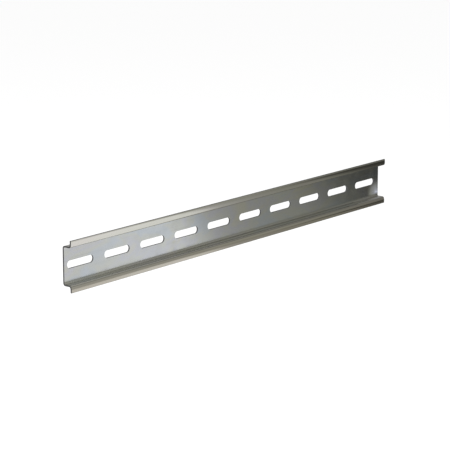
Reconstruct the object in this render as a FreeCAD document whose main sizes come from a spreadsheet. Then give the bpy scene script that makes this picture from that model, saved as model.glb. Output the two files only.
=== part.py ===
import FreeCAD, Part

import math
import os

import Sketcher

# A slotted top-hat mounting rail: one strip of zinc-plated steel, punched and then
# roll-formed. The length runs along X and the 35 mm height along Z. The back of the web,
# which lies on the panel, is the plane Y = 0, and the hollow side faces -Y. The origin is
# the middle of the back of the web.

SIZES = {
    "rail_length": 358.0,
    "rail_height": 35.0,
    "rail_depth": 7.5,
    "channel_height": 27.0,
    "strip_thickness": 1.0,
    "bend_radius": 0.8,
    "slot_length": 25.0,
    "slot_width": 5.2,
    "slot_pitch": 36.0,
    "end_margin": 3.0,
    "strip_edge_radius": 0.2,
    "slot_edge_radius": 0.15,
    "end_chamfer": 0.1,
}

# The strip is cut to length so that no slot comes nearer to either end than end_margin.
SLOT_COUNT = (
    "floor((Sizes.rail_length - 2 * Sizes.end_margin - Sizes.slot_length)"
    " / Sizes.slot_pitch) + 1"
)

NODE = "top_hat_rail"
START, END, CENTRE = 1, 2, 3
AXES_OF_SKETCH = -1
QUARTER = math.pi / 2
TOLERANCE = 1e-4
VOLUME_TOLERANCE = 1e-6


def add_sheet(doc):
    """The driving dimensions, one named cell each."""
    sheet = doc.addObject("Spreadsheet::Sheet", "Sizes")
    for row, (name, value) in enumerate(SIZES.items(), start=1):
        sheet.set(f"A{row}", name)
        sheet.set(f"B{row}", str(value))
        sheet.setAlias(f"B{row}", name)
    doc.recompute()
    return sheet


def origin_part(body, role):
    """One of the body's own origin planes or axes."""
    for feature in body.Origin.OriginFeatures:
        if feature.Role == role:
            return feature
    raise RuntimeError(f"the body has no {role}")


def add_sketch(body, name, plane):
    sketch = body.newObject("Sketcher::SketchObject", name)
    sketch.AttachmentSupport = [(origin_part(body, plane), "")]
    sketch.MapMode = "FlatFace"
    return sketch


def point(across, up):
    return FreeCAD.Vector(across, up, 0)


def line(start, end):
    return Part.LineSegment(start, end)


def arc(centre, radius, start_angle, end_angle):
    circle = Part.Circle(centre, FreeCAD.Vector(0, 0, 1), radius)
    return Part.ArcOfCircle(circle, start_angle, end_angle)


def bind(sketch, name, expression, constraint):
    """Add a driving constraint and tie its value to the sheet."""
    index = sketch.addConstraint(constraint)
    sketch.renameConstraint(index, name)
    sketch.setExpression(f"Constraints.{name}", expression)


def tangent(first, first_end, second, second_end):
    return Sketcher.Constraint("Tangent", first, first_end, second, second_end)


def joined(first, first_end, second, second_end):
    return Sketcher.Constraint("Coincident", first, first_end, second, second_end)


def draw_half_section(body, sheet):
    """The upper half of the strip's section: web, bend, wall, bend and flange."""
    thickness = float(sheet.strip_thickness)
    inner = float(sheet.bend_radius)
    outer = inner + thickness
    depth = float(sheet.rail_depth)
    wall = float(sheet.channel_height) / 2
    tip = float(sheet.rail_height) / 2
    web_bend = point(-outer, wall - outer)
    flange_bend = point(outer - depth, wall + inner)

    sketch = add_sketch(body, "HalfSection", "YZ_Plane")
    outline = {
        "web_back": line(point(0, 0), point(0, web_bend.y)),
        "web_bend_outer": arc(web_bend, outer, 0, QUARTER),
        "wall_outer": line(point(web_bend.x, wall), point(flange_bend.x, wall)),
        "flange_bend_inner": arc(flange_bend, inner, 2 * QUARTER, 3 * QUARTER),
        "flange_back": line(point(thickness - depth, flange_bend.y), point(thickness - depth, tip)),
        "flange_tip": line(point(thickness - depth, tip), point(-depth, tip)),
        "flange_front": line(point(-depth, tip), point(-depth, flange_bend.y)),
        "flange_bend_outer": arc(flange_bend, outer, 2 * QUARTER, 3 * QUARTER),
        "wall_inner": line(
            point(flange_bend.x, wall - thickness), point(web_bend.x, wall - thickness)
        ),
        "web_bend_inner": arc(web_bend, inner, 0, QUARTER),
        "web_front": line(point(-thickness, web_bend.y), point(-thickness, 0)),
        "middle": line(point(-thickness, 0), point(0, 0)),
    }
    at = {name: sketch.addGeometry(shape) for name, shape in outline.items()}

    for name in ("web_back", "flange_back", "flange_front", "web_front"):
        sketch.addConstraint(Sketcher.Constraint("Vertical", at[name]))
    for name in ("wall_outer", "flange_tip", "wall_inner", "middle"):
        sketch.addConstraint(Sketcher.Constraint("Horizontal", at[name]))
    sketch.addConstraint([
        joined(at["web_back"], START, AXES_OF_SKETCH, START),
        joined(at["middle"], END, at["web_back"], START),
        joined(at["web_front"], END, at["middle"], START),
        joined(at["flange_back"], END, at["flange_tip"], START),
        joined(at["flange_tip"], END, at["flange_front"], START),
        joined(at["web_bend_outer"], CENTRE, at["web_bend_inner"], CENTRE),
        joined(at["flange_bend_outer"], CENTRE, at["flange_bend_inner"], CENTRE),
        tangent(at["web_back"], END, at["web_bend_outer"], START),
        tangent(at["web_bend_outer"], END, at["wall_outer"], START),
        tangent(at["wall_outer"], END, at["flange_bend_inner"], END),
        tangent(at["flange_bend_inner"], START, at["flange_back"], START),
        tangent(at["flange_front"], END, at["flange_bend_outer"], START),
        tangent(at["flange_bend_outer"], END, at["wall_inner"], START),
        tangent(at["wall_inner"], END, at["web_bend_inner"], END),
        tangent(at["web_bend_inner"], START, at["web_front"], START),
    ])

    bind(sketch, "thickness", "Sizes.strip_thickness", Sketcher.Constraint(
        "DistanceX", at["middle"], START, at["middle"], END, thickness))
    bind(sketch, "web_bend", "Sizes.bend_radius", Sketcher.Constraint(
        "Radius", at["web_bend_inner"], inner))
    bind(sketch, "flange_bend", "Sizes.bend_radius", Sketcher.Constraint(
        "Radius", at["flange_bend_inner"], inner))
    bind(sketch, "depth", "Sizes.rail_depth", Sketcher.Constraint(
        "DistanceX", at["flange_front"], START, AXES_OF_SKETCH, START, depth))
    bind(sketch, "half_channel", "Sizes.channel_height / 2", Sketcher.Constraint(
        "DistanceY", AXES_OF_SKETCH, START, at["wall_outer"], START, wall))
    bind(sketch, "half_height", "Sizes.rail_height / 2", Sketcher.Constraint(
        "DistanceY", AXES_OF_SKETCH, START, at["flange_tip"], START, tip))
    return sketch


def draw_slot(body, sheet):
    """The first slot from the left end, full-radius at both ends."""
    radius = float(sheet.slot_width) / 2
    straight = float(sheet.slot_length) - float(sheet.slot_width)
    reach = float(sheet.rail_length) / 2 - float(sheet.end_margin) - radius
    left = point(-reach, 0)
    right = point(straight - reach, 0)
    rise = point(0, radius)

    sketch = add_sketch(body, "Slot", "XZ_Plane")
    outline = {
        "left_end": arc(left, radius, QUARTER, 3 * QUARTER),
        "lower": line(left - rise, right - rise),
        "right_end": arc(right, radius, -QUARTER, QUARTER),
        "upper": line(right + rise, left + rise),
    }
    at = {name: sketch.addGeometry(shape) for name, shape in outline.items()}

    sketch.addConstraint([
        tangent(at["left_end"], END, at["lower"], START),
        tangent(at["lower"], END, at["right_end"], START),
        tangent(at["right_end"], END, at["upper"], START),
        tangent(at["upper"], END, at["left_end"], START),
        Sketcher.Constraint("Equal", at["left_end"], at["right_end"]),
        Sketcher.Constraint("PointOnObject", at["left_end"], CENTRE, AXES_OF_SKETCH),
        Sketcher.Constraint("PointOnObject", at["right_end"], CENTRE, AXES_OF_SKETCH),
    ])

    bind(sketch, "end_radius", "Sizes.slot_width / 2", Sketcher.Constraint(
        "Radius", at["left_end"], radius))
    bind(sketch, "straight", "Sizes.slot_length - Sizes.slot_width", Sketcher.Constraint(
        "DistanceX", at["left_end"], CENTRE, at["right_end"], CENTRE, straight))
    bind(
        sketch,
        "reach",
        "Sizes.rail_length / 2 - Sizes.end_margin - Sizes.slot_width / 2",
        Sketcher.Constraint("DistanceX", at["left_end"], CENTRE, AXES_OF_SKETCH, START, reach),
    )
    return sketch


def edges_where(feature, test):
    """The names of the edges of a feature whose bounding box passes the test."""
    edges = enumerate(feature.Shape.Edges, start=1)
    return [f"Edge{number}" for number, edge in edges if test(edge.BoundBox)]


def in_plane(low, high, value):
    return abs(low - value) < TOLERANCE and abs(high - value) < TOLERANCE


def add_dressing(body, kind, name, base, edges, size_property, expression):
    """A fillet or a chamfer on the listed edges of the feature before it."""
    if not edges:
        raise RuntimeError(f"{name} found no edge")
    feature = body.newObject(kind, name)
    feature.Base = (base, edges)
    feature.setExpression(size_property, expression)
    return feature


def form_rail(doc, sheet):
    """The whole rail as one body: the formed strip, its slots and its worked edges."""
    body = doc.addObject("PartDesign::Body", "Rail")
    body.Label = NODE
    thickness = float(sheet.strip_thickness)
    half_length = float(sheet.rail_length) / 2
    half_height = float(sheet.rail_height) / 2
    half_slot = float(sheet.slot_width) / 2

    half = body.newObject("PartDesign::Pad", "UpperHalf")
    half.Profile = draw_half_section(body, sheet)
    half.SideType = "Symmetric"
    half.setExpression("Length", "Sizes.rail_length")

    strip = body.newObject("PartDesign::Mirrored", "FormedStrip")
    strip.Originals = [half]
    strip.MirrorPlane = (origin_part(body, "XY_Plane"), [""])
    body.Tip = strip
    doc.recompute()

    tips = edges_where(
        strip,
        lambda box: box.XLength > half_length
        and (in_plane(box.ZMin, box.ZMax, half_height) or in_plane(box.ZMin, box.ZMax, -half_height)),
    )
    slit = add_dressing(
        body, "PartDesign::Fillet", "SlitEdges", strip, tips, "Radius", "Sizes.strip_edge_radius"
    )
    doc.recompute()

    slot = body.newObject("PartDesign::Pocket", "FirstSlot")
    slot.Profile = draw_slot(body, sheet)
    slot.SideType = "Symmetric"
    slot.setExpression("Length", "4 * Sizes.strip_thickness")
    doc.recompute()

    slots = body.newObject("PartDesign::LinearPattern", "Slots")
    slots.Originals = [slot]
    slots.Direction = (origin_part(body, "X_Axis"), [""])
    slots.Mode = "Spacing"
    slots.setExpression("Offset", "Sizes.slot_pitch")
    slots.setExpression("Occurrences", SLOT_COUNT)
    body.Tip = slots
    doc.recompute()
    check_slots(sheet, slit, slots)

    rims = edges_where(
        slots,
        lambda box: in_plane(box.YMin, box.YMax, -thickness)
        and max(abs(box.ZMin), abs(box.ZMax)) < half_slot + TOLERANCE,
    )
    punched = add_dressing(
        body, "PartDesign::Fillet", "PunchedRims", slots, rims, "Radius", "Sizes.slot_edge_radius"
    )
    doc.recompute()

    ends = edges_where(
        punched,
        lambda box: in_plane(box.XMin, box.XMax, half_length)
        or in_plane(box.XMin, box.XMax, -half_length),
    )
    cut = add_dressing(
        body, "PartDesign::Chamfer", "CutEnds", punched, ends, "Size", "Sizes.end_chamfer"
    )
    body.Tip = cut
    doc.recompute()
    return body


def check_slots(sheet, before, after):
    """Every slot has gone right through the web, and nothing else was cut."""
    radius = float(sheet.slot_width) / 2
    straight = float(sheet.slot_length) - float(sheet.slot_width)
    slot_area = math.pi * radius**2 + 2 * radius * straight
    punched_out = after.Occurrences * slot_area * float(sheet.strip_thickness)
    removed = before.Shape.Volume - after.Shape.Volume
    if abs(removed - punched_out) > VOLUME_TOLERANCE * before.Shape.Volume:
        raise RuntimeError(f"the slots took out {removed} and not {punched_out}")


def check_document(doc, bodies):
    for item in doc.Objects:
        if "Invalid" in item.State or "Error" in item.State:
            raise RuntimeError(f"{item.Label} is {item.State}")
    for body in bodies:
        if body.Shape.isNull() or not body.Shape.isValid():
            raise RuntimeError(f"{body.Label} has no valid shape")
        if len(body.Shape.Solids) != 1:
            raise RuntimeError(f"{body.Label} is not one solid")


def main():
    doc = FreeCAD.newDocument("TopHatRail")
    sheet = add_sheet(doc)
    bodies = [form_rail(doc, sheet)]
    check_document(doc, bodies)
    os.makedirs("parts", exist_ok=True)
    for body in bodies:
        body.Shape.exportStep(f"parts/{body.Label}.step")


main()
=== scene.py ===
import math

import bmesh
import bpy
from mathutils import Matrix, Vector


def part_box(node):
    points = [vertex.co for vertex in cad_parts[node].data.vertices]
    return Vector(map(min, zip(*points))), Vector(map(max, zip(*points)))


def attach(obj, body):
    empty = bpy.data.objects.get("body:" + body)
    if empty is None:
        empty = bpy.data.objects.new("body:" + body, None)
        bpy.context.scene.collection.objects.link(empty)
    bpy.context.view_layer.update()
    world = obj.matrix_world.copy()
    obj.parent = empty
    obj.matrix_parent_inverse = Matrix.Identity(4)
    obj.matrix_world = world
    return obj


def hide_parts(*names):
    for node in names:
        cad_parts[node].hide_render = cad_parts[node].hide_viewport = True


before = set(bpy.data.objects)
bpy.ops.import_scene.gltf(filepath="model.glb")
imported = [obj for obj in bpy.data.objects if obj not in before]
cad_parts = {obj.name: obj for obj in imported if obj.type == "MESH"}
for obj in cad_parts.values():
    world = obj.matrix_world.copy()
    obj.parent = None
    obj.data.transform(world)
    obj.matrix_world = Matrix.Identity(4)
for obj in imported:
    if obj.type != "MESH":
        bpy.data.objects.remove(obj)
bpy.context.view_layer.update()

# A slotted top-hat rail of zinc-plated steel. The rail runs along X, the back of its web
# is the plane Y = 0 and its hollow side faces -Y. Lengths are in metres.

NODE = "top_hat_rail"
MM = 0.001

STRIP_THICKNESS = 1.0 * MM
CHANNEL_HEIGHT = 27.0 * MM
INNER_BEND = 0.8 * MM
OUTER_BEND = INNER_BEND + STRIP_THICKNESS
SLIT_EDGE_RADIUS = 0.2 * MM
# The rolls leave each flange curled in towards its bend, the upper one also crowned at its tip.
UPPER_CURL = math.radians(4)
LOWER_CURL = math.radians(10)
CURL_RADIUS = 6.0 * MM
CURL_MIDDLE = 15.3 * MM
UPPER_CROWN = math.radians(6)
CROWN_RADIUS = 4.0 * MM
CROWN_MIDDLE = 16.5 * MM
# Cutting to length lets the section spring: the flanges lean out at one end and back at the
# other.
LEAN_AT_LEFT = math.radians(1.6)
LEAN_AT_RIGHT = math.radians(-2.2)
LEAN_STEPS = 24

SLOT_LENGTH = 25.0 * MM
SLOT_WIDTH = 5.2 * MM
SLOT_PITCH = 36.0 * MM
END_MARGIN = 3.0 * MM

PUNCH_ROLL_OVER = 0.15 * MM
PUNCH_BURR_EDGE = 0.04 * MM
CUT_END_EDGE = 0.1 * MM

BEND_SEGMENTS = 16
EDGE_SEGMENTS = 4
END_SEGMENTS = 2
SLOT_END_SEGMENTS = 20

CREASE_ANGLE = math.radians(24)
COPLANAR_ANGLE = math.radians(0.5)
FLAT = 1e-5
# Round a slot, a face whose normal has at least this much Y in it belongs to the web.
FACING_WEB = 0.9

ACROSS_STRIP = "across_strip"
THROUGH_STRIP = "through_strip"
PLATED, PUNCHED, SLIT, CUT_OFF = 0, 1, 2, 3

low_corner, high_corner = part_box(NODE)
LEFT_END, RIGHT_END = low_corner.x, high_corner.x
FRONT = low_corner.y
TIP = high_corner.z


# Shape

def strip_corners(curl, crown):
    """The corners of half the strip's section, each with its rounding radius."""
    wall = CHANNEL_HEIGHT / 2
    back = FRONT + STRIP_THICKNESS
    set_back = (TIP - CROWN_MIDDLE) * math.tan(crown)
    front_root = FRONT + (CURL_MIDDLE - wall + STRIP_THICKNESS) * math.tan(curl)
    back_root = back + (CURL_MIDDLE - wall) * math.tan(curl)
    back_crown = [(back, CROWN_MIDDLE, CROWN_RADIUS - STRIP_THICKNESS)] if crown else []
    front_crown = [(FRONT, CROWN_MIDDLE, CROWN_RADIUS)] if crown else []
    return [
        (0.0, wall, OUTER_BEND),
        (back_root, wall, INNER_BEND),
        (back, CURL_MIDDLE, CURL_RADIUS - STRIP_THICKNESS),
        *back_crown,
        (back + set_back, TIP, SLIT_EDGE_RADIUS),
        (FRONT + set_back, TIP, SLIT_EDGE_RADIUS),
        *front_crown,
        (FRONT, CURL_MIDDLE, CURL_RADIUS),
        (front_root, wall - STRIP_THICKNESS, OUTER_BEND),
        (-STRIP_THICKNESS, wall - STRIP_THICKNESS, INNER_BEND),
    ]


def turn_at(corner, before, after):
    """How far the outline turns at a corner, as an angle."""
    incoming = Vector((corner[0] - before[0], corner[1] - before[1]))
    outgoing = Vector((after[0] - corner[0], after[1] - corner[1]))
    return incoming.angle(outgoing)


def formed_strip():
    """The roll-formed strip before punching: its rounded section drawn out along X."""
    bm = bmesh.new()
    upper = strip_corners(UPPER_CURL, UPPER_CROWN)
    lower_half = strip_corners(LOWER_CURL, crown=0)
    lower = [(y, -z, radius) for y, z, radius in reversed(lower_half)]
    outline = upper + lower
    corners = [bm.verts.new((LEFT_END, y, z)) for y, z, radius in outline]
    bm.faces.new(corners)
    for index, (corner, vertex) in enumerate(zip(outline, corners)):
        radius = corner[2]
        turn = turn_at(corner, outline[index - 1], outline[(index + 1) % len(outline)])
        segments = EDGE_SEGMENTS if radius == SLIT_EDGE_RADIUS else BEND_SEGMENTS
        bmesh.ops.bevel(
            bm, geom=[vertex], offset=radius * math.tan(turn / 2), offset_type="OFFSET",
            segments=segments, profile=0.5, affect="VERTICES", material=-1,
        )
    drawn = bmesh.ops.extrude_face_region(bm, geom=bm.faces[:])
    moved = [v for v in drawn["geom"] if isinstance(v, bmesh.types.BMVert)]
    bmesh.ops.translate(bm, verts=moved, vec=(RIGHT_END - LEFT_END, 0, 0))
    bmesh.ops.recalc_face_normals(bm, faces=bm.faces)
    return bm


def slot_centres():
    """The slots' middles along X, as many as the cut length holds."""
    first = LEFT_END + END_MARGIN + SLOT_LENGTH / 2
    room = RIGHT_END - LEFT_END - 2 * END_MARGIN - SLOT_LENGTH
    count = math.floor(room / SLOT_PITCH + FLAT) + 1
    return [first + number * SLOT_PITCH for number in range(count)]


def slot_punches():
    """One full-radius punch for each slot, reaching through the web."""
    bm = bmesh.new()
    reach = 4 * STRIP_THICKNESS
    for centre in slot_centres():
        place = Matrix.Translation((centre, -STRIP_THICKNESS / 2, 0))
        size = Matrix.Diagonal((SLOT_LENGTH, reach, SLOT_WIDTH, 1))
        punch = bmesh.ops.create_cube(bm, size=1, matrix=place @ size)
        # dict.fromkeys drops the doubles and keeps the order, so each run bevels the same way.
        edges = dict.fromkeys(edge for v in punch["verts"] for edge in v.link_edges)
        upright = [e for e in edges if abs(e.verts[0].co.y - e.verts[1].co.y) > reach / 2]
        bmesh.ops.bevel(
            bm, geom=upright, offset=SLOT_WIDTH / 2, offset_type="OFFSET",
            segments=SLOT_END_SEGMENTS, profile=0.5, affect="EDGES", material=-1,
        )
    bmesh.ops.remove_doubles(bm, verts=bm.verts, dist=FLAT)
    bmesh.ops.recalc_face_normals(bm, faces=bm.faces)
    return bm


def new_object(name, bm):
    mesh = bpy.data.meshes.new(name)
    bm.to_mesh(mesh)
    bm.free()
    piece = bpy.data.objects.new(name, mesh)
    bpy.context.scene.collection.objects.link(piece)
    return piece


def in_fixed_order(mesh):
    """The same mesh with its points and faces sorted: a Boolean's own order varies by run."""
    places = [tuple(v.co) for v in mesh.vertices]
    points = sorted(set(places))
    number = {point: index for index, point in enumerate(points)}
    faces = []
    for face in mesh.polygons:
        around = [number[places[index]] for index in face.vertices]
        start = around.index(min(around))
        faces.append(around[start:] + around[:start])
    ordered = bpy.data.meshes.new(mesh.name)
    ordered.from_pydata(points, [], sorted(faces))
    return ordered


def cut_out(piece, punches):
    """Take the punches out of the piece and keep the result as its mesh."""
    cut = piece.modifiers.new("Punching", "BOOLEAN")
    cut.operation = "DIFFERENCE"
    cut.solver = "EXACT"
    cut.object = punches
    seen = piece.evaluated_get(bpy.context.evaluated_depsgraph_get())
    mesh = bpy.data.meshes.new_from_object(seen)
    piece.modifiers.remove(cut)
    piece.data = in_fixed_order(mesh)
    bpy.data.meshes.remove(mesh)
    bpy.data.objects.remove(punches)


def is_crease(edge):
    return len(edge.link_faces) == 2 and edge.calc_face_angle() > CREASE_ANGLE


def edge_in_plane(edge, axis, value):
    return all(abs(v.co[axis] - value) < FLAT for v in edge.verts)


def ease(bm, edges, width, segments):
    bmesh.ops.bevel(
        bm, geom=edges, offset=width, offset_type="OFFSET", segments=segments,
        profile=0.5, affect="EDGES", material=-1, clamp_overlap=True,
    )


def ease_worked_edges(piece):
    """Roll-over on the punched side of each slot, a small burr edge behind, eased ends."""
    bm = bmesh.new()
    bm.from_mesh(piece.data)
    bmesh.ops.dissolve_limit(
        bm, angle_limit=COPLANAR_ANGLE, verts=bm.verts, edges=bm.edges,
        use_dissolve_boundaries=False, delimit=set(),
    )
    in_slot = SLOT_WIDTH / 2 + FLAT
    for depth, width, segments in (
        (-STRIP_THICKNESS, PUNCH_ROLL_OVER, EDGE_SEGMENTS),
        (0.0, PUNCH_BURR_EDGE, 1),
    ):
        rims = [
            e for e in bm.edges
            if edge_in_plane(e, 1, depth) and is_crease(e)
            and all(abs(v.co.z) < in_slot for v in e.verts)
        ]
        ease(bm, rims, width, segments)
    for end in (LEFT_END, RIGHT_END):
        rim = [e for e in bm.edges if edge_in_plane(e, 0, end) and is_crease(e)]
        ease(bm, rim, CUT_END_EDGE, END_SEGMENTS)
    bmesh.ops.recalc_face_normals(bm, faces=bm.faces)
    bm.to_mesh(piece.data)
    bm.free()


def lean_flanges(piece):
    """Turn the flanges about their tips where they lean out, about their bends elsewhere."""
    bm = bmesh.new()
    bm.from_mesh(piece.data)
    length = RIGHT_END - LEFT_END
    for step in range(1, LEAN_STEPS):
        bmesh.ops.bisect_plane(
            bm, geom=bm.verts[:] + bm.edges[:] + bm.faces[:], dist=FLAT / 10,
            plane_co=(LEFT_END + length * step / LEAN_STEPS, 0, 0), plane_no=(1, 0, 0),
        )
    root = CHANNEL_HEIGHT / 2 - STRIP_THICKNESS
    for v in bm.verts:
        if abs(v.co.z) < root + FLAT or v.co.y > FRONT + 2 * OUTER_BEND:
            continue
        along = (v.co.x - LEFT_END) / length
        lean = LEAN_AT_LEFT + (LEAN_AT_RIGHT - LEAN_AT_LEFT) * along
        arm = TIP - abs(v.co.z) if lean > 0 else abs(v.co.z) - root
        v.co.y += abs(math.tan(lean)) * arm
    bm.to_mesh(piece.data)
    bm.free()


def across(co):
    """How far round the section a point lies, which the brushed grain runs at right angles to."""
    return co.z + math.copysign(max(-co.y - STRIP_THICKNESS, 0), co.z)


def through(co):
    """How deep in the strip a point lies: 0 on the hollow side, 1 on the back."""
    beyond_wall = max(CHANNEL_HEIGHT / 2 - abs(co.z), 0)
    behind_flange = max(FRONT + STRIP_THICKNESS - co.y, 0)
    to_back = min(-co.y, math.hypot(beyond_wall, behind_flange))
    return 1 - min(to_back / STRIP_THICKNESS, 1)


def finish_of(face):
    """Which finish a face has: plated, or cut by the punch, the slitter or the saw."""
    middle = face.calc_center_median()
    if min(middle.x - LEFT_END, RIGHT_END - middle.x) < CUT_END_EDGE:
        return CUT_OFF
    if abs(middle.z) > TIP - SLIT_EDGE_RADIUS:
        return SLIT
    by_slot = abs(middle.z) < SLOT_WIDTH / 2 + PUNCH_ROLL_OVER
    return PUNCHED if by_slot and abs(face.normal.y) < FACING_WEB else PLATED


def mark_surfaces(piece):
    """Give each face its finish, and the coordinates that the patterns follow."""
    bm = bmesh.new()
    bm.from_mesh(piece.data)
    grain = bm.loops.layers.uv.new(ACROSS_STRIP)
    depth = bm.verts.layers.float.new(THROUGH_STRIP)
    for v in bm.verts:
        v[depth] = through(v.co)
    for face in bm.faces:
        face.material_index = finish_of(face)
        for loop in face.loops:
            loop[grain].uv = (across(loop.vert.co) / MM, loop.vert.co.x / MM)
    bm.to_mesh(piece.data)
    bm.free()


def make_rail():
    rail = new_object("rail_strip", formed_strip())
    cut_out(rail, new_object("slot_punches", slot_punches()))
    ease_worked_edges(rail)
    lean_flanges(rail)
    mark_surfaces(rail)
    rail.data.shade_smooth()
    rail.data.set_sharp_from_angle(angle=CREASE_ANGLE)
    flatten = rail.modifiers.new("Flat faces stay flat", "WEIGHTED_NORMAL")
    flatten.keep_sharp = True
    flatten.weight = 100
    return rail


rail = make_rail()
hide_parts(NODE)
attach(rail, "root")


# Finish

def wire(tree, ends):
    """Join (from node, output) to (to node, input) pairs."""
    for (source, output), (target, socket) in ends:
        tree.links.new(source.outputs[output], target.inputs[socket])


def add_node(tree, kind, **values):
    """A shader node whose named inputs are set; an input is named by its words with _."""
    made = tree.nodes.new("ShaderNode" + kind)
    for name, value in values.items():
        made.inputs[name.replace("_", " ")].default_value = value
    return made


def add_math(tree, operation, second=None):
    """A math node; second is the value of its second input, where that isn't linked."""
    made = tree.nodes.new("ShaderNodeMath")
    made.operation = operation
    if second is not None:
        made.inputs[1].default_value = second
    return made


def grey(level):
    return (level, level, level)


def add_distance(tree, point):
    """A node that measures how far its first input is from the point."""
    made = tree.nodes.new("ShaderNodeVectorMath")
    made.operation = "DISTANCE"
    made.inputs[1].default_value = point
    return made


def add_ramp(tree, stops):
    made = tree.nodes.new("ShaderNodeValToRGB")
    elements = made.color_ramp.elements
    elements[0].position, elements[0].color = stops[0][0], (*stops[0][1], 1)
    elements[1].position, elements[1].color = stops[-1][0], (*stops[-1][1], 1)
    for position, colour in stops[1:-1]:
        elements.new(position).color = (*colour, 1)
    return made


def add_blend(tree, mode="MIX"):
    made = tree.nodes.new("ShaderNodeMix")
    made.data_type = "RGBA"
    made.blend_type = mode
    return made


FACTOR, FIRST, SECOND, BLENDED = 0, 6, 7, 2


def new_group(name, inputs, outputs):
    """An empty shader group with its named sockets, and its input and output nodes."""
    group = bpy.data.node_groups.new(name, "ShaderNodeTree")
    for label, value in inputs.items():
        socket = group.interface.new_socket(label, in_out="INPUT", socket_type="NodeSocketFloat")
        socket.default_value = value
    for label, kind in outputs.items():
        group.interface.new_socket(label, in_out="OUTPUT", socket_type="NodeSocket" + kind)
    return group, group.nodes.new("NodeGroupInput"), group.nodes.new("NodeGroupOutput")


def place_group(tree, group):
    made = tree.nodes.new("ShaderNodeGroup")
    made.node_tree = group
    return made


def rolling_lines():
    """Fine lines that the mill and the forming rolls draw along the strip."""
    group, given, out = new_group(
        "rolling_lines", {"Strength": 1.0}, {"Height": "Float", "Mask": "Float"})
    place = add_node(group, "TexCoord")
    along = add_node(group, "Mapping", Scale=(0.02, 1, 1))
    fine = add_node(group, "TexNoise", Scale=3600, Detail=3, Roughness=0.6)
    broad = add_node(group, "TexNoise", Scale=700, Detail=2, Roughness=0.5)
    both = add_math(group, "ADD")
    half = add_math(group, "MULTIPLY", second=0.5)
    scaled = add_math(group, "MULTIPLY")
    wire(group, [
        ((place, "Object"), (along, "Vector")),
        ((along, "Vector"), (fine, "Vector")),
        ((along, "Vector"), (broad, "Vector")),
        ((fine, "Fac"), (both, 0)),
        ((broad, "Fac"), (both, 1)),
        ((both, 0), (half, 0)),
        ((half, 0), (scaled, 0)),
        ((given, "Strength"), (scaled, 1)),
        ((scaled, 0), (out, "Height")),
        ((half, 0), (out, "Mask")),
    ])
    return group


# X times Z at the ends of the flanges.
AT_FLANGE_END = 0.0026
# The lower flange's tone fades in over these heights.
LOWER_TONE_FROM, LOWER_TONE_TO = -13 * MM, -15 * MM
LOWER_TONE = (0.90, 0.86, 0.815, 1)


def passivation_film():
    """The thin clear film over the zinc: cloudy on the web, warm and rubbed on the flanges.

    The upper flange's colour darkens towards its right end as painted shade, and the lower one is
    darker and warmer.
    """
    group, given, out = new_group(
        "passivation_film", {"Warm from": 0.010, "Warm to": 0.0135},
        {"Color": "Color", "Rubbed": "Float"})
    place = add_node(group, "TexCoord")
    stretch = add_node(group, "Mapping", Scale=(0.45, 1, 1), Location=(0.03, 0, 0))
    cloud = add_node(group, "TexNoise", Scale=48, Detail=3, Roughness=0.55, Distortion=0.6)
    web = add_ramp(group, [
        (0.30, (0.60, 0.65, 0.715)),
        (0.43, (0.625, 0.66, 0.69)),
        (0.50, (0.66, 0.67, 0.635)),
        (0.58, (0.64, 0.65, 0.69)),
        (0.68, (0.68, 0.675, 0.60)),
    ])
    rubbed = add_ramp(group, [
        (0.35, (0.82, 0.81, 0.73)),
        (0.55, (0.84, 0.825, 0.76)),
        (0.70, (0.845, 0.81, 0.77)),
    ])
    split = add_node(group, "SeparateXYZ")
    upper_half = add_math(group, "MAXIMUM", second=0)
    along_upper = add_math(group, "MULTIPLY")
    # Painted shade: the upper flange's colour darkens from full at its left end to 0.64 at its
    # right, where its reflection grows dim.
    wear_and_painted_shade = add_node(
        group, "MapRange",
        From_Min=-AT_FLANGE_END, From_Max=AT_FLANGE_END, To_Min=1.0, To_Max=0.64)
    off_lower = add_node(group, "MapRange", From_Min=LOWER_TONE_TO, From_Max=LOWER_TONE_FROM)
    lower_tone = add_blend(group)
    lower_tone.inputs[FIRST].default_value = LOWER_TONE
    lower_tone.inputs[SECOND].default_value = (1, 1, 1, 1)
    both = add_blend(group, "MULTIPLY")
    both.inputs[FACTOR].default_value = 1
    uneven = add_blend(group, "MULTIPLY")
    uneven.inputs[FACTOR].default_value = 1
    height = add_math(group, "ABSOLUTE")
    zone = add_node(group, "MapRange")
    zone.interpolation_type = "SMOOTHSTEP"
    mix = add_blend(group)
    wire(group, [
        ((place, "Object"), (stretch, "Vector")),
        ((stretch, "Vector"), (cloud, "Vector")),
        ((cloud, "Fac"), (web, "Fac")),
        ((cloud, "Fac"), (rubbed, "Fac")),
        ((place, "Object"), (split, "Vector")),
        ((split, "Z"), (height, 0)),
        ((height, 0), (zone, "Value")),
        ((given, "Warm from"), (zone, "From Min")),
        ((given, "Warm to"), (zone, "From Max")),
        ((zone, "Result"), (mix, FACTOR)),
        ((split, "X"), (along_upper, 0)),
        ((split, "Z"), (upper_half, 0)),
        ((upper_half, 0), (along_upper, 1)),
        ((along_upper, 0), (wear_and_painted_shade, "Value")),
        ((rubbed, "Color"), (uneven, FIRST)),
        ((split, "Z"), (off_lower, "Value")),
        ((off_lower, "Result"), (lower_tone, FACTOR)),
        ((wear_and_painted_shade, "Result"), (both, FIRST)),
        ((lower_tone, BLENDED), (both, SECOND)),
        ((both, BLENDED), (uneven, SECOND)),
        ((web, "Color"), (mix, FIRST)),
        ((uneven, BLENDED), (mix, SECOND)),
        ((mix, BLENDED), (out, "Color")),
        ((zone, "Result"), (out, "Rubbed")),
    ])
    return group


# Each set of scratches: its turn from the rail's length in degrees, and its fineness.
SCRATCH_SETS = ((4, 900), (-7, 700), (28, 500))


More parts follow.
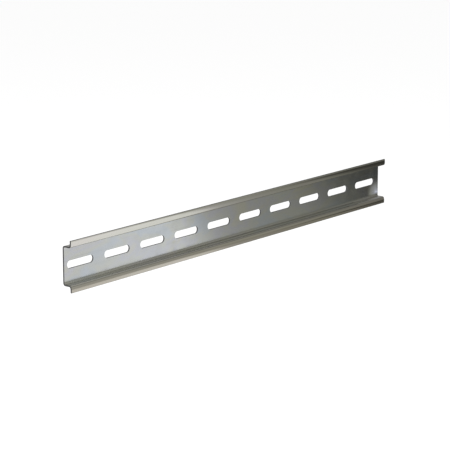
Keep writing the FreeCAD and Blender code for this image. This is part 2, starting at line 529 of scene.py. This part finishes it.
def handling_marks():
    """Short fine scratches, mostly along the rail, and dull smudges between them."""
    group, given, out = new_group(
        "handling_marks", {"Amount": 1.0}, {"Scratches": "Float", "Smudges": "Float"})
    place = add_node(group, "TexCoord")
    total = None
    for turn, fineness in SCRATCH_SETS:
        lean = add_node(
            group, "Mapping", Rotation=(0, math.radians(turn), 0), Scale=(0.035, 1, 1))
        grain = add_node(group, "TexNoise", Scale=fineness, Detail=1, Roughness=0.4)
        thin = add_node(group, "MapRange", From_Min=0.70, From_Max=0.76)
        wire(group, [
            ((place, "Object"), (lean, "Vector")),
            ((lean, "Vector"), (grain, "Vector")),
            ((grain, "Fac"), (thin, "Value")),
        ])
        if total is None:
            total = (thin, "Result")
            continue
        most = add_math(group, "MAXIMUM")
        wire(group, [(total, (most, 0)), ((thin, "Result"), (most, 1))])
        total = (most, 0)
    amount = add_math(group, "MULTIPLY")
    cloud = add_node(group, "TexNoise", Scale=110, Detail=4, Roughness=0.6)
    smudge = add_node(group, "MapRange", From_Min=0.42, From_Max=0.68)
    wire(group, [
        (total, (amount, 0)),
        ((given, "Amount"), (amount, 1)),
        ((amount, 0), (out, "Scratches")),
        ((place, "Object"), (cloud, "Vector")),
        ((cloud, "Fac"), (smudge, "Value")),
        ((smudge, "Result"), (out, "Smudges")),
    ])
    return group


# The shear turned the web's right end up below the last slot, down to just above the bend.
TURN_HEIGHT = 1.5 * MM
TURN_REACH = 15 * MM
TURN_MIDDLE = (RIGHT_END, 0, -9.5 * MM)
TURN_BOTTOM, TURN_FULL = -11.8 * MM, -10.0 * MM


def turned_up_end():
    """The web's right end below its last slot, turned up towards the hollow side; the same patch
    is the mask for a painted blue reflection.
    """
    group, given, out = new_group(
        "turned_up_end", {"Reach": TURN_REACH}, {"Normal": "Vector", "Painted reflection": "Float"})
    place = add_node(group, "TexCoord")
    flat = add_node(group, "Mapping", Scale=(1, 0, 1))
    away = add_distance(group, TURN_MIDDLE)
    near = add_node(group, "MapRange", To_Min=1.0, To_Max=0.0)
    steeper = add_math(group, "POWER", second=2)
    split = add_node(group, "SeparateXYZ")
    web_only = add_node(group, "MapRange", From_Min=TURN_BOTTOM, From_Max=TURN_FULL)
    risen = add_node(group, "Bump", Distance=TURN_HEIGHT)
    turned = add_math(group, "MULTIPLY")
    wire(group, [
        ((place, "Object"), (flat, "Vector")),
        ((flat, "Vector"), (away, 0)),
        ((away, "Value"), (near, "Value")),
        ((given, "Reach"), (near, "From Max")),
        ((near, "Result"), (steeper, 0)),
        ((place, "Object"), (split, "Vector")),
        ((split, "Z"), (web_only, "Value")),
        ((steeper, 0), (risen, "Height")),
        ((web_only, "Result"), (risen, "Strength")),
        ((risen, "Normal"), (out, "Normal")),
        ((near, "Result"), (turned, 0)),
        ((web_only, "Result"), (turned, 1)),
        ((turned, 0), (out, "Painted reflection")),
    ])
    return group


def spread(tree, low, high):
    """Map 0 to 1 onto low to high."""
    return add_node(tree, "MapRange", To_Min=low, To_Max=high)


def new_finish(name):
    material = bpy.data.materials.new(name)
    material.use_nodes = True
    tree = material.node_tree
    return material, tree, tree.nodes["Principled BSDF"]


# Painted reflection: the turned-up patch gets this bright blue colour to stand in for a bluish
# reflection there.
PAINTED_REFLECTION_BLUE = (0.72, 0.75, 0.90, 1)
RELIEF_DEPTH = 0.02 * MM


def zinc_plate(lines, film, marks, end_turn_with_painted_reflection):
    """Bright zinc over the strip's faces and bends, brushed along the rail."""
    material, tree, skin = new_finish("zinc_plate")
    skin.inputs["Metallic"].default_value = 1
    skin.inputs["Anisotropic"].default_value = 0.9
    grain = place_group(tree, lines)
    tint = place_group(tree, film)
    wear_and_painted_shade = place_group(tree, marks)
    dull = spread(tree, 0.12, 0.18)
    streaks = spread(tree, -0.02, 0.02)
    scored = spread(tree, 0.0, 0.06)
    gloss = add_math(tree, "ADD")
    handled = add_math(tree, "ADD")
    burnish = spread(tree, 1.0, 0.55)
    shine = add_math(tree, "MULTIPLY")
    relief = add_node(tree, "Bump", Strength=0.25, Distance=RELIEF_DEPTH)
    turned_up_with_painted_reflection = place_group(tree, end_turn_with_painted_reflection)
    # Painted reflection: the base colour turns bright blue over the turned-up patch.
    painted_reflection = add_blend(tree)
    painted_reflection.inputs[SECOND].default_value = PAINTED_REFLECTION_BLUE
    across = tree.nodes.new("ShaderNodeTangent")
    across.direction_type = "UV_MAP"
    across.uv_map = ACROSS_STRIP
    wire(tree, [
        ((turned_up_with_painted_reflection, "Painted reflection"), (painted_reflection, FACTOR)),
        ((tint, "Color"), (painted_reflection, FIRST)),
        ((painted_reflection, BLENDED), (skin, "Base Color")),
        ((wear_and_painted_shade, "Smudges"), (dull, "Value")),
        ((grain, "Mask"), (streaks, "Value")),
        ((dull, "Result"), (gloss, 0)),
        ((streaks, "Result"), (gloss, 1)),
        ((wear_and_painted_shade, "Scratches"), (scored, "Value")),
        ((gloss, 0), (handled, 0)),
        ((scored, "Result"), (handled, 1)),
        ((tint, "Rubbed"), (burnish, "Value")),
        ((handled, 0), (shine, 0)),
        ((burnish, "Result"), (shine, 1)),
        ((shine, 0), (skin, "Roughness")),
        ((grain, "Height"), (relief, "Height")),
        ((turned_up_with_painted_reflection, "Normal"), (relief, "Normal")),
        ((relief, "Normal"), (skin, "Normal")),
        ((across, "Tangent"), (skin, "Tangent")),
    ])
    return material


TORN_DEPTH = 0.05 * MM


def cut_steel(name, burnished, torn):
    """A cut edge: the part the tool burnished, then the torn part, both given as levels. The
    levels are darker than bare steel: partly the bare steel's own tone, partly painted shade.
    """
    material, tree, skin = new_finish(name)
    skin.inputs["Metallic"].default_value = 1
    depth = tree.nodes.new("ShaderNodeAttribute")
    depth.attribute_name = THROUGH_STRIP
    place = add_node(tree, "TexCoord")
    ragged = add_node(tree, "TexNoise", Scale=1400, Detail=3, Roughness=0.7)
    shift = spread(tree, -0.12, 0.12)
    level = add_math(tree, "ADD")
    colour = add_ramp(tree, [
        (0.0, grey(burnished)),
        (0.30, grey(burnished * 0.9)),
        (0.42, grey((burnished + torn) / 2)),
        (0.55, grey(torn * 1.1)),
        (1.0, grey(torn)),
    ])
    tooth = add_ramp(tree, [
        (0.0, grey(0.32)),
        (0.36, grey(0.36)),
        (0.50, grey(0.52)),
        (1.0, grey(0.58)),
    ])
    relief = add_node(tree, "Bump", Strength=0.5, Distance=TORN_DEPTH)
    wire(tree, [
        ((place, "Object"), (ragged, "Vector")),
        ((ragged, "Fac"), (shift, "Value")),
        ((depth, "Fac"), (level, 0)),
        ((shift, "Result"), (level, 1)),
        ((level, 0), (colour, "Fac")),
        ((level, 0), (tooth, "Fac")),
        ((colour, "Color"), (skin, "Base Color")),
        ((tooth, "Color"), (skin, "Roughness")),
        ((ragged, "Fac"), (relief, "Height")),
        ((relief, "Normal"), (skin, "Normal")),
    ])
    return material


lines = rolling_lines()
film = passivation_film()
marks = handling_marks()
end_turn_with_painted_reflection = turned_up_end()
rail.data.materials.append(zinc_plate(lines, film, marks, end_turn_with_painted_reflection))
# Painted shade: these levels are darker than bare steel, standing in for the shade on the slot
# walls, flange tips and cut ends.
rail.data.materials.append(cut_steel("punched_edge", burnished=0.13, torn=0.08))
rail.data.materials.append(cut_steel("slit_edge", burnished=0.26, torn=0.16))
rail.data.materials.append(cut_steel("cut_off_end", burnished=0.14, torn=0.07))


# Studio

VIEW_AZIMUTH = math.radians(-50.99)
VIEW_ELEVATION = math.radians(12.93)
VIEW_DISTANCE = 1405.5 * MM
VIEW_POINT = Vector((-11.36 * MM, 0, -2.71 * MM))
# In widths of the picture.
FOCAL_LENGTH = 4.3633
FIELD_OF_VIEW = 2 * math.atan(0.5 / FOCAL_LENGTH)

TABLE_BELOW = 160 * MM
TABLE_HALF_SIZE = 6
TABLE_GLOW = 0.64
TABLE_PAINT = 0.5
# How far off the rail's line the table gives way to the dim room that it reflects.
TABLE_FADES = (0.75, 1.30)
# The table's bright patch runs off at a slant to the rail.
PATCH_SLANT = -0.93

# Between these heights of a unit direction the room turns to one even grey.
ROOM_EVENS_OUT = (0.55, 0.80)
ROOM_ABOVE = (0.72, 0.72, 0.72, 1)

SOFT_BOX_SIZE = (1.4, 1.0)
SOFT_BOX_POWER = 9
SOFT_BOX_PLACE = (-0.3, 0, 1.3)


def aim(azimuth, elevation):
    """A direction given as the compass angle from -Y towards +X, and the height angle."""
    flat = math.cos(elevation)
    return Vector((math.sin(azimuth) * flat, -math.cos(azimuth) * flat, math.sin(elevation)))


def add_camera():
    lens = bpy.data.cameras.new("camera")
    lens.sensor_fit = "HORIZONTAL"
    lens.angle = FIELD_OF_VIEW
    camera = bpy.data.objects.new("camera", lens)
    bpy.context.scene.collection.objects.link(camera)
    back = aim(VIEW_AZIMUTH, VIEW_ELEVATION)
    camera.location = VIEW_POINT + back * VIEW_DISTANCE
    camera.rotation_euler = back.to_track_quat("Z", "Y").to_euler()
    bpy.context.scene.camera = camera


def paint_by(tree, stops, low, high):
    """A ramp whose stops are given in the measure's own units, between low and high."""
    scale = add_node(tree, "MapRange", From_Min=low, From_Max=high)
    ramp = add_ramp(tree, [((at - low) / (high - low), colour) for at, colour in stops])
    tree.links.new(scale.outputs["Result"], ramp.inputs["Fac"])
    return scale, ramp


def dim_room():
    """The soft room round the table by compass, bright at the left and dim at the right."""
    group, given, out = new_group("dim_room", {"Right": 0.0, "Toward": 1.0}, {"Color": "Color"})
    compass = add_math(group, "ARCTAN2")
    degrees = add_math(group, "MULTIPLY", second=180 / math.pi)
    turned, low_wall = paint_by(group, [
        (-180, grey(0.65)),
        (-60, grey(0.80)),
        (20, grey(0.60)),
        (45, (0.42, 0.42, 0.40)),
        (47.5, (0.35, 0.35, 0.32)),
        (50.5, (0.335, 0.335, 0.30)),
        (52, (0.31, 0.31, 0.28)),
        (53.5, (0.25, 0.25, 0.225)),
        (56, (0.18, 0.18, 0.165)),
        (66, (0.19, 0.185, 0.17)),
        (80, (0.16, 0.16, 0.15)),
        (110, grey(0.27)),
        (140, grey(0.38)),
        (180, grey(0.65)),
    ], -180, 180)
    wire(group, [
        ((given, "Right"), (compass, 0)),
        ((given, "Toward"), (compass, 1)),
        ((compass, 0), (degrees, 0)),
        ((degrees, 0), (turned, "Value")),
        ((low_wall, "Color"), (out, "Color")),
    ])
    return group


def add_world(walls):
    """White behind the part; above the table a soft room, bright at the left, dim at the right."""
    world = bpy.data.worlds.new("studio")
    bpy.context.scene.world = world
    world.use_nodes = True
    tree = world.node_tree
    tree.nodes.clear()
    place = add_node(tree, "TexCoord")
    split = add_node(tree, "SeparateXYZ")
    toward = add_math(tree, "MULTIPLY", second=-1)
    low_wall = place_group(tree, walls)
    low, high = ROOM_EVENS_OUT
    raised = add_node(tree, "MapRange", From_Min=low, From_Max=high)
    raised.interpolation_type = "SMOOTHSTEP"
    room = add_blend(tree)
    room.inputs[SECOND].default_value = ROOM_ABOVE
    path = add_node(tree, "LightPath")
    behind = add_math(tree, "MAXIMUM")
    seen = add_blend(tree)
    seen.inputs[SECOND].default_value = (1, 1, 1, 1)
    glow = tree.nodes.new("ShaderNodeBackground")
    out = tree.nodes.new("ShaderNodeOutputWorld")
    wire(tree, [
        ((place, "Generated"), (split, "Vector")),
        ((split, "Y"), (toward, 0)),
        ((split, "X"), (low_wall, "Right")),
        ((toward, 0), (low_wall, "Toward")),
        ((split, "Z"), (raised, "Value")),
        ((raised, "Result"), (room, FACTOR)),
        ((low_wall, "Color"), (room, FIRST)),
        ((path, "Is Camera Ray"), (behind, 0)),
        ((path, "Is Transmission Ray"), (behind, 1)),
        ((behind, 0), (seen, FACTOR)),
        ((room, BLENDED), (seen, FIRST)),
        ((seen, BLENDED), (glow, "Color")),
        ((glow, "Background"), (out, "Surface")),
    ])


def add_lamp():
    """One large soft box overhead."""
    light = bpy.data.lights.new("soft_box", "AREA")
    light.shape = "RECTANGLE"
    light.size, light.size_y = SOFT_BOX_SIZE
    light.energy = SOFT_BOX_POWER
    lamp = bpy.data.objects.new("soft_box", light)
    lamp.location = SOFT_BOX_PLACE
    bpy.context.scene.collection.objects.link(lamp)


def add_table(walls):
    """A white table. The metal mirrors it, bright near the rail and dimmer off to the right."""
    bm = bmesh.new()
    bmesh.ops.create_grid(bm, x_segments=1, y_segments=1, size=TABLE_HALF_SIZE)
    bmesh.ops.translate(bm, verts=bm.verts, vec=(0, 0, -TABLE_BELOW))
    floor = new_object("floor", bm)
    paint = bpy.data.materials.new("white_table")
    paint.use_nodes = True
    tree = paint.node_tree
    tree.nodes.clear()
    place = add_node(tree, "TexCoord")
    split = add_node(tree, "SeparateXYZ")
    out_of_line = add_math(tree, "ABSOLUTE")
    slant = add_math(tree, "MULTIPLY", second=PATCH_SLANT)
    rightward = add_math(tree, "ADD")
    reach, patch = paint_by(tree, [
        (-0.35, (0.70, 0.70, 0.70)),
        (-0.10, (0.77, 0.77, 0.77)),
        (-0.04, (0.80, 0.81, 0.82)),
        (0.04, (0.80, 0.81, 0.81)),
        (0.068, (0.67, 0.675, 0.67)),
        (0.088, (0.45, 0.45, 0.44)),
        (0.12, (0.37, 0.37, 0.355)),
        (0.155, (0.32, 0.32, 0.298)),
        (0.215, (0.28, 0.28, 0.252)),
        (0.25, (0.268, 0.268, 0.238)),
        (0.275, (0.235, 0.235, 0.21)),
        (0.30, (0.185, 0.185, 0.165)),
        (0.335, (0.12, 0.12, 0.108)),
        (0.37, (0.08, 0.08, 0.072)),
        (0.40, (0.065, 0.065, 0.059)),
        (0.46, (0.05, 0.05, 0.045)),
    ], -0.35, 0.46)
    far_wall = place_group(tree, walls)
    near_edge, far_edge = TABLE_FADES
    far = add_node(tree, "MapRange", From_Min=near_edge, From_Max=far_edge)
    table = add_blend(tree)
    path = add_node(tree, "LightPath")
    plain = add_math(tree, "MAXIMUM")
    mirrored = add_math(tree, "MAXIMUM")
    shown = add_blend(tree)
    shown.inputs[SECOND].default_value = (*grey(TABLE_GLOW), 1)
    lit = add_math(tree, "MULTIPLY", second=TABLE_PAINT)
    matt = add_node(tree, "BsdfDiffuse")
    glow = add_node(tree, "Emission")
    add = tree.nodes.new("ShaderNodeAddShader")
    out = tree.nodes.new("ShaderNodeOutputMaterial")
    wire(tree, [
        ((place, "Object"), (split, "Vector")),
        ((split, "Y"), (out_of_line, 0)),
        ((out_of_line, 0), (slant, 0)),
        ((split, "X"), (rightward, 0)),
        ((slant, 0), (rightward, 1)),
        ((rightward, 0), (reach, "Value")),
        ((split, "X"), (far_wall, "Right")),
        ((out_of_line, 0), (far_wall, "Toward")),
        ((out_of_line, 0), (far, "Value")),
        ((far, "Result"), (table, FACTOR)),
        ((patch, "Color"), (table, FIRST)),
        ((far_wall, "Color"), (table, SECOND)),
        ((path, "Is Camera Ray"), (plain, 0)),
        ((path, "Is Transmission Ray"), (plain, 1)),
        ((plain, 0), (mirrored, 0)),
        ((path, "Is Glossy Ray"), (mirrored, 1)),
        ((plain, 0), (shown, FACTOR)),
        ((table, BLENDED), (shown, FIRST)),
        ((shown, BLENDED), (glow, "Color")),
        ((mirrored, 0), (glow, "Strength")),
        ((plain, 0), (lit, 0)),
        ((lit, 0), (matt, "Color")),
        ((matt, "BSDF"), (add, 0)),
        ((glow, "Emission"), (add, 1)),
        ((add, 0), (out, "Surface")),
    ])
    floor.data.materials.append(paint)


walls = dim_room()
add_camera()
add_world(walls)
add_lamp()
add_table(walls)
bpy.context.scene.view_settings.view_transform = "Standard"
